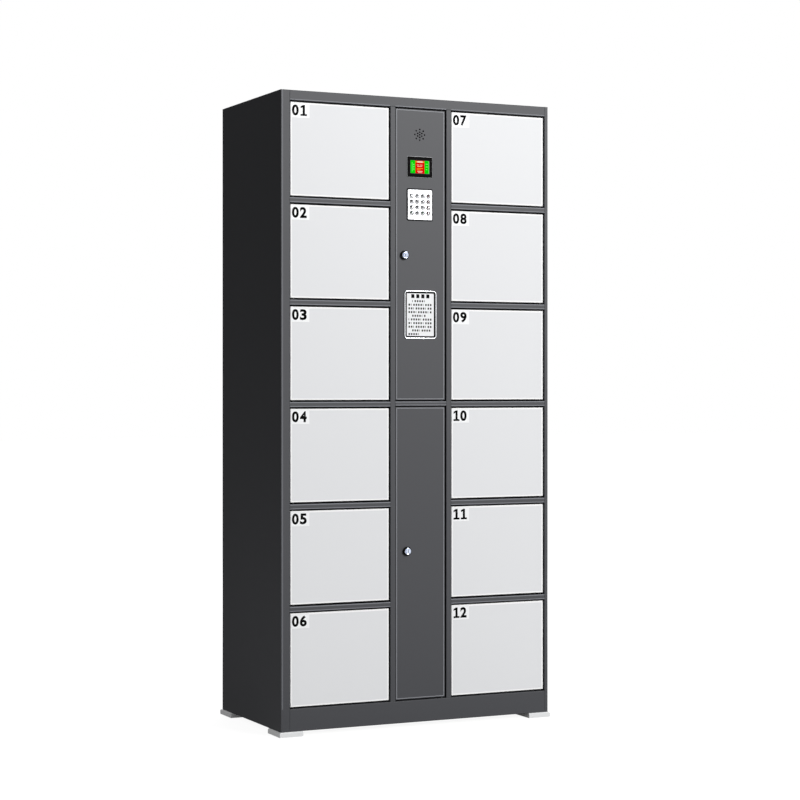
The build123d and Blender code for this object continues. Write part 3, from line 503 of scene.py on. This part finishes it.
# The spring shutter in the keyway is blued steel, nearly black.
shutter = finish("Steel dust shutter, blued", "#1C1D21", 0.4, Metallic=1.0)[0]
for which in ("upper", "lower"):
    low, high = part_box(f"{which}_lock_barrel")
    x, z, front, back = (low[0] + high[0]) / 2, (low[2] + high[2]) / 2, low[1], high[1]
    case = [(BORE_R, back), (BORE_R, front + CHAMFER_INNER), (BORE_R + CHAMFER, front + CHAMFER_OUTER),
            (DISH_R, front), *arc(HEAD_R - RIM_R, front + RIM_R, RIM_R, 90, 0), (HEAD_R, HEAD_END),
            (THREAD_R, HEAD_END), (THREAD_R, back), (BORE_R, back)]
    for part, section, y, flats, smooth, material, slot in (
            ("case", case, 0.0, 0, 40, chrome, "lock_chrome"),
            ("washer", COLLAR, DOOR_SKIN, 0, 40, rubber, "black_plastic"),
            ("nut", NUT, DOOR_SKIN, 6, 30, chrome, "lock_chrome")):
        points, faces = turned(section, 48, flats, ends=False)
        made = piece(f"{which}_lock_{part}", points + (x, y, z), faces, f"{which}_control_door", material,
                     smooth=smooth)
        if part == "case":
            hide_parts(f"{which}_lock_barrel")
    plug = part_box(f"{which}_lock_plug")[0][1]
    points, faces = plates([x - SHUTTER_HALF[0], x + SHUTTER_HALF[0], plug + SHUTTER_FRONT, plug + SHUTTER_BACK,
                            z - SHUTTER_HALF[1], z + SHUTTER_HALF[1]])
    piece(f"{which}_lock_shutter", points, faces, f"{which}_lock_core", shutter)
dress(chrome, "upper_lock_plug", "lower_lock_plug")

# Speaker. A small cone loudspeaker in a moulded basket, clamped behind the drilled holes of the upper
# control door. Black moulded ABS with a dull surface, so it stays dark behind the holes.
abs_black = finish("ABS, moulded, black", "#020202", 0.6, IOR=1.53, Specular_IOR_Level=0.04)[0]
dress(abs_black, "speaker")

# Screen. A colour display clipped into a moulded black bezel, which sits in a cut-out of the upper control
# door with a thin pale bead around it. The picture is plain: green side bands, a red block and bars.
PANEL = "upper_control_door"
SCREEN_X, SCREEN_Z, WINDOW_WIDTH, WINDOW_HEIGHT = 0.006, 1.6038, 0.064, 0.0395
CUTOUT_R = 0.002
# The bead's section, as inset from the bezel's outline and distance behind the door's outer face.
BEAD = [(-0.001, 0.0), (-0.001, -0.0008), (-0.0003, -0.001), (0.0002, -0.0008), (0.0002, 0.0)]
# The picture's colours and blocks, lower ones first: left, right, bottom and top in parts of the window.
PICTURE = {"green": ("#00DC00", [(.03, .26, .04, .96), (.73, .95, .04, .96)]),
           "red": ("#E60A04", [(.27, .72, .04, .96)]),
           "pale": ("#FFE3C4", [(.36, .64, .82, .92), (.34, .45, .63, .66), (.5, .62, .63, .66),
                                (.36, .6, .53, .56), (.36, .62, .17, .21), (.4, .6, .08, .11)]),
           "yellow": ("#FFB91E", [(.34, .65, .38, .41), (.34, .52, .29, .32), (.29, .34, .82, .92),
                                  (.66, .7, .82, .92)]),
           "mint": ("#8CFF7A", [(.10, .12, .16, .84), (.16, .22, .64, .7), (.16, .22, .47, .53),
                                (.16, .22, .3, .36), (.79, .89, .71, .75), (.79, .89, .51, .55),
                                (.79, .86, .31, .35), (.93, .95, .04, .96)])}
GROUND, LAYER, GLOW = ("green", "red"), 0.00004, 0.95


def rounded(width, height, radius, steps=6):
    """Outline of a rounded rectangle, x and z: each corner's centre plus radius times (cos t, sin t), with t
    running a quarter turn on from the corner before."""
    t = np.linspace(0, np.pi / 2, steps)[None] + np.arange(4)[:, None] * np.pi / 2
    sides = np.array([[1, 1], [-1, 1], [-1, -1], [1, -1]])[:, None]
    centres = sides * (width / 2 - radius, height / 2 - radius)
    return (centres + radius * np.stack([np.cos(t), np.sin(t)], axis=2)).reshape(-1, 2)


def moulding(section, width, height, radius, x, z):
    """A closed section of (inset, y) points, y from the door's outer face, carried round a rounded rectangle
    whose middle is x, z: at inset i the outline is i smaller on every side, and its corner radius is i less."""
    rings = [np.insert(rounded(width - 2 * i, height - 2 * i, max(radius - i, 0.0001)), 1, y, axis=1)
             for i, y in section]
    points = np.concatenate(rings) + (x, DOOR_SKIN, z)
    count, around = len(section), len(rings[0])
    i, j = np.meshgrid(np.arange(count), np.arange(around), indexing="ij")
    i, j = i.ravel(), j.ravel()
    following, beside = (i + 1) % count * around, (j + 1) % around
    faces = np.stack([i * around + j, i * around + beside, following + beside, following + j], axis=1)
    return points, faces


def lit(name, colour, strength):
    """A glowing display colour under clear glass: black below, the colour as emission."""
    material, _, shader = finish(name, "#030303", 0.3, IOR=1.5, Specular_IOR_Level=0.0)
    shader.inputs["Emission Color"].default_value = linear(colour)
    shader.inputs["Emission Strength"].default_value = strength
    return material


dress(abs_black, "screen_bezel", "keypad_base")
# The bead is grey ABS, half glossy.
bead = finish("ABS, moulded, pale grey", "#9A9C9F", 0.35, IOR=1.53)[0]
low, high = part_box("screen_bezel")
points, faces = moulding(BEAD, high[0] - low[0], high[2] - low[2], CUTOUT_R, SCREEN_X, SCREEN_Z)
piece("screen_bead", points, faces, PANEL, bead, smooth=50)
# Display glass over a dark ground: black, with clear reflections.
glass_black = finish("Display glass, dark", "#030304", 0.1, IOR=1.5)[0]
dress(glass_black, "screen_panel")
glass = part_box("screen_panel")[0][1]
for colour, (code, areas) in PICTURE.items():
    front = glass - LAYER * (1 if colour in GROUND else 2)
    points, faces = plates([(SCREEN_X + (left - 0.5) * WINDOW_WIDTH, SCREEN_X + (right - 0.5) * WINDOW_WIDTH,
                             front, glass, SCREEN_Z + (bottom - 0.5) * WINDOW_HEIGHT,
                             SCREEN_Z + (top - 0.5) * WINDOW_HEIGHT) for left, right, bottom, top in areas])
    light = lit(f"Display light, {colour}", code, GLOW)
    piece(f"picture_{colour}", points, faces, PANEL, light)

# Keypad. A brushed stainless plate on a black rubber gasket, set into the upper control door. Behind it sit
# sixteen sprung round keys of die-cast zinc, whose domes stand out through its holes; their legends are
# painted: black digits, brown letters and green signs.
# The gasket's black edge round the plate is partly a real gasket and partly painted shade, standing in for the
# thin shadow around the plate.
GASKET = [(-0.0032, 0.0), (-0.0032, -0.0005), (-0.0029, -0.0008), (0.0, -0.0008), (0.0, 0.0)]
# A key: its dome is part of a ball and starts just behind the front of the CAD's key; DOME_ARC gives the
# angles near its pole and at its shoulder, in degrees, and the number of points. The shoulder is given as
# radius and depth behind the dome's top, and the flange holds the key behind the plate.
DOME_R, DOME_BACK, DOME_ARC, SHOULDER = 0.0074, 0.0001, (89, 37, 20), ((0.0062, 0.0032), (0.0064, 0.0036))
FLANGE_R, FLANGE, BACK_MIDDLE = 0.0074, 0.001, 0.0002
# The legends stand a little to the left of the keys' middles and above them, 0.18 mm proud of the dome. Their
# strokes are thickened, the signs' less, whose outlines would cross.
SIGNS = {"star": "*", "hash": "#"}
LEGEND_HEIGHT, LEGEND_OFF, LEGEND_PROUD = 0.0066, (-0.0011, 0.0009), 0.00018
SIGN_WEIGHT, LEGEND_WEIGHT = 0.02, 0.055
# Brushing leaves fine scratches along the width, drawn 0.9 mm apart because real ones are too fine to show;
# they stretch and blur what the plate mirrors.
steel, tree, shader = finish("Stainless steel, brushed", "#B6B7BA", 0.4, Metallic=1.0)
rough_surface(tree, shader, grain=0.0009, height=0.000004, stretch=(0.06, 1, 1))
dress(steel, "keypad_plate")
low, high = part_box("keypad_plate")
points, faces = moulding(GASKET, high[0] - low[0], high[2] - low[2], CUTOUT_R, (low[0] + high[0]) / 2,
                         (low[2] + high[2]) / 2)
piece("keypad_gasket", points, faces, PANEL, rubber, smooth=50)
# Satin chrome on domed keys: a pale mirror that picks up a dark rim from the room.
satin_chrome = finish("Zinc casting, satin chrome", "#DDDEE0", 0.06, Metallic=1.0)[0]
# The legends are filled with enamel, opaque and half dull.
green_paint = finish("Enamel fill, green", "#22502A", 0.5, IOR=1.5, Specular_IOR_Level=0.2)[0]
brown_paint = finish("Enamel fill, red-brown", "#571812", 0.5, IOR=1.5, Specular_IOR_Level=0.2)[0]
for name in [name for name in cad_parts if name.startswith("key_")]:
    sign = name.removeprefix("key_")
    low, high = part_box(name)
    x, z, face, back = (low[0] + high[0]) / 2, (low[2] + high[2]) / 2, low[1] + DOME_BACK, high[1]
    profile = arc(0.0, face + DOME_R, DOME_R, *DOME_ARC) + [(r, face + depth) for r, depth in SHOULDER]
    profile += [(SHOULDER[-1][0], back - FLANGE), (FLANGE_R, back - FLANGE), (FLANGE_R, back),
                (BACK_MIDDLE, back)]
    points, faces = turned(profile, 40)
    cap = piece(f"cap_{sign}", points + (x, 0, z), faces, f"pressed_{name}", satin_chrome, smooth=40)
    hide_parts(name)
    weight = SIGN_WEIGHT if sign in SIGNS else LEGEND_WEIGHT
    points, faces = lettering(SIGNS.get(sign, sign.upper()), LEGEND_HEIGHT, weight, cuts=3)
    points += (LEGEND_OFF[0], 0, LEGEND_OFF[1]) - (points.max(axis=0) + points.min(axis=0)) / 2
    points[:, 1] = DOME_R - np.sqrt(DOME_R ** 2 - points[:, 0] ** 2 - points[:, 2] ** 2) - LEGEND_PROUD
    paint = green_paint if sign in SIGNS else brown_paint if sign in "abcd" else ink
    piece(f"legend_{sign}", points + (x, face, z), faces, f"pressed_{name}", paint)

# Instruction card. A laminated card in a round-cornered aluminium frame, which is glued to the upper control
# door and has a black line along its inner edge, partly a printed border and partly painted shade in the gap
# between frame and card; the text is drawn as plain blocks.
NOTICE = {"width": 0.103, "height": 0.139, "radius": 0.01, "x": 0.0075, "z": 1.1805}
# Sections of the frame, a round bar with a ledge inside it, and of the line on the ledge.
LEDGE = -0.0012
NOTICE_FRAME = [(0.0, 0.0), *arc(0.002, LEDGE, 0.002, 180, 0, 11), (0.0072, LEDGE), (0.0072, 0.0)]
BORDER = [(0.0039, LEDGE), (0.0039, LEDGE - 0.0001), (0.0083, LEDGE - 0.0001), (0.0083, LEDGE)]
# The text, in metres from the card's middle: four heading blocks, then ten lines of word blocks, of which
# some start further in or end sooner than the others.
HEADINGS = [(x, x + 0.0095, 0.0475, 0.0585) for x in (-0.0288, -0.0128, 0.0032, 0.0192)]
LINES, TOP_LINE, LINE_PITCH, LINE_START, LINE_END = 10, 0.0388, 0.0105, -0.0375, 0.032
LATE_STARTS, EARLY_ENDS = {0: -0.026, 4: -0.026, 8: -0.026}, {0: 0.018, 4: 0.018, 9: -0.004}
LONG_WORD, SHORT_WORD, WORD_HALF, WORD_PITCH = 0.0044, 0.0016, 0.0028, 0.0076
INK_FILM = 0.00005
# Polished aluminium, a bright metal with slightly blurred reflections.
polished = finish("Aluminium, polished", "#E6E8EB", 0.25, Metallic=1.0)[0]
points, faces = moulding(NOTICE_FRAME, **NOTICE)
rim = piece("notice_rim", points, faces, PANEL, polished, smooth=50)
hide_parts("notice_frame")
# White card under a matt laminate, with only a faint gloss.
card = finish("Card, laminated, white", "#F0F1F2", 0.45, IOR=1.5, Specular_IOR_Level=0.3)[0]
dress(card, "notice_card")
points, faces = moulding(BORDER, **NOTICE)
piece("card_border", points, faces, PANEL, ink, smooth=20)
words = []
for row in range(LINES):
    z = TOP_LINE - row * LINE_PITCH
    starts = np.arange(LATE_STARTS.get(row, LINE_START), EARLY_ENDS.get(row, LINE_END), WORD_PITCH)
    words += [(x, x + (LONG_WORD if (row * 7 + n * 3) % 5 else SHORT_WORD), z - WORD_HALF, z + WORD_HALF)
              for n, x in enumerate(starts)]
blocks = np.array(HEADINGS + words) + (NOTICE["x"], NOTICE["x"], NOTICE["z"], NOTICE["z"])
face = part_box("notice_card")[0][1]
points, faces = plates(np.insert(blocks, [2, 2], (face - INK_FILM, face), axis=1))
piece("card_print", points, faces, PANEL, ink)

# Studio. A pale floor and a white surround for camera, glossy and transmission rays. Reflections find the
# surround white to the front and right and dark behind the left side, as beside a black flag.
studio = bpy.context.scene
studio.view_settings.view_transform = "Standard"
TO_FRONT_RIGHT, FLAG_WHITE = (0.55, -0.7, -1.0), 0.08
FLOOR_SIZE, FLOOR_MIRRORED, WORLD_AMBIENT = 60, 0.85, 0.34
# The floor glows a little less near the cabinet, a painted shade round it that lets the cabinet's shadow
# show: radii and strengths.
SHADE_POOL = {"From Min": 1.2, "From Max": 3.0, "To Min": 0.93, "To Max": 1.0}


def surround(tree, place, near, far, mirrored, ambient):
    """Strength of the white that a ray meets: 1 for camera rays, ambient for diffuse rays, and for glossy and
    transmission rays mirrored, where the place's dot product with TO_FRONT_RIGHT, which also points down, is
    past far, falling evenly to FLAG_WHITE of that where it is before near."""
    ray = add(tree, "ShaderNodeLightPath", {})
    ahead = add(tree, "ShaderNodeVectorMath", {"operation": "DOT_PRODUCT", 1: TO_FRONT_RIGHT}, {0: place})
    fade = add(tree, "ShaderNodeMapRange", {"From Min": near, "From Max": far, "To Min": FLAG_WHITE * mirrored,
                                            "To Max": mirrored}, {"Value": ahead.outputs["Value"]})
    bounced = add(tree, "ShaderNodeMath", {"operation": "MAXIMUM"},
                  {0: ray.outputs["Is Glossy Ray"], 1: ray.outputs["Is Transmission Ray"]})
    bounced = add(tree, "ShaderNodeMath", {"operation": "MULTIPLY"},
                  {0: bounced.outputs[0], 1: fade.outputs[0]})
    both = add(tree, "ShaderNodeMath", {"operation": "MAXIMUM"},
               {0: bounced.outputs[0], 1: ray.outputs["Is Camera Ray"]})
    spread = add(tree, "ShaderNodeMath", {"operation": "MULTIPLY", 1: ambient},
                 {0: ray.outputs["Is Diffuse Ray"]})
    return add(tree, "ShaderNodeMath", {"operation": "MAXIMUM"},
               {0: both.outputs[0], 1: spread.outputs[0]}).outputs[0]


bpy.ops.mesh.primitive_plane_add(size=FLOOR_SIZE)
floor = bpy.context.object
floor.name = "studio_floor"
paper, tree, shader = finish("Studio paper, pale", "#747474", 1.0, Specular_IOR_Level=0.0)
shader.inputs["Emission Color"].default_value = (1, 1, 1, 1)
place = add(tree, "ShaderNodeTexCoord", {}).outputs["Object"]
white = surround(tree, place, near=-0.5, far=1.2, mirrored=FLOOR_MIRRORED, ambient=0.0)
away = add(tree, "ShaderNodeVectorMath", {"operation": "LENGTH"}, {0: place})
shade_pool = add(tree, "ShaderNodeMapRange", SHADE_POOL, {"Value": away.outputs["Value"]})
glow = add(tree, "ShaderNodeMath", {"operation": "MULTIPLY"}, {0: white, 1: shade_pool.outputs[0]})
tree.links.new(glow.outputs[0], shader.inputs["Emission Strength"])
floor.data.materials.append(paper)

world = bpy.data.worlds.new("studio_surround")
world.use_nodes = True
studio.world = world
tree = world.node_tree
place = add(tree, "ShaderNodeTexCoord", {}).outputs["Generated"]
white = surround(tree, place, near=-0.4, far=0.4, mirrored=1.0, ambient=WORLD_AMBIENT)
tree.links.new(white, tree.nodes["Background"].inputs["Strength"])
tree.nodes["Background"].inputs["Color"].default_value = (1, 1, 1, 1)


def soft_light(name, place, aim, size, power):
    """A rectangular area light at place, turned so that its -Z axis points at aim: tilted by the angle whose
    tangent is the level distance over the drop, and turned by that of its place around the aim."""
    lamp = bpy.data.lights.new(name, "AREA")
    lamp.shape = "RECTANGLE"
    lamp.size, lamp.size_y = size
    lamp.energy = power
    made = bpy.data.objects.new(name, lamp)
    bpy.context.collection.objects.link(made)
    made.location = place
    toward = np.subtract(aim, place)
    made.rotation_euler = (np.arctan2(np.hypot(toward[0], toward[1]), -toward[2]), 0,
                           np.arctan2(-toward[0], toward[1]))
    return made


# A large softbox to the right of the camera, a small one behind for the back, and a weak low one that
# lightens the left feet.
soft_light("front_softbox", place=(4.9, -8.9, 5.1), aim=(0.0, -0.2, 1.1), size=(3.8, 3.8), power=1030)
soft_light("back_softbox", place=(1.6, 4.4, 2.8), aim=(0.0, 0.2, 0.9), size=(2.4, 2.0), power=160)
low_fill = soft_light("low_fill", place=(-1.25, -0.3, 0.15), aim=(-0.43, 0.1, 0.02), size=(0.6, 0.16),
                      power=1.1)
low_fill.visible_camera = False

# Camera. It stands level, 6 m away and to the left of the cabinet's front, a little above half its height,
# so the upright edges stay parallel.
CAMERA_PLACE, CAMERA_TURN, LENS_MM, FILM_MM, SHIFT = (-2.571, -5.482, 0.975), -25.563, 91.86, 36.0, -0.017
lens = bpy.data.cameras.new("camera")
camera = bpy.data.objects.new("camera", lens)
bpy.context.collection.objects.link(camera)
camera.location = CAMERA_PLACE
camera.rotation_euler = (np.pi / 2, 0, np.radians(CAMERA_TURN))
lens.lens = LENS_MM
lens.sensor_width = FILM_MM
lens.shift_y = SHIFT
studio.camera = camera
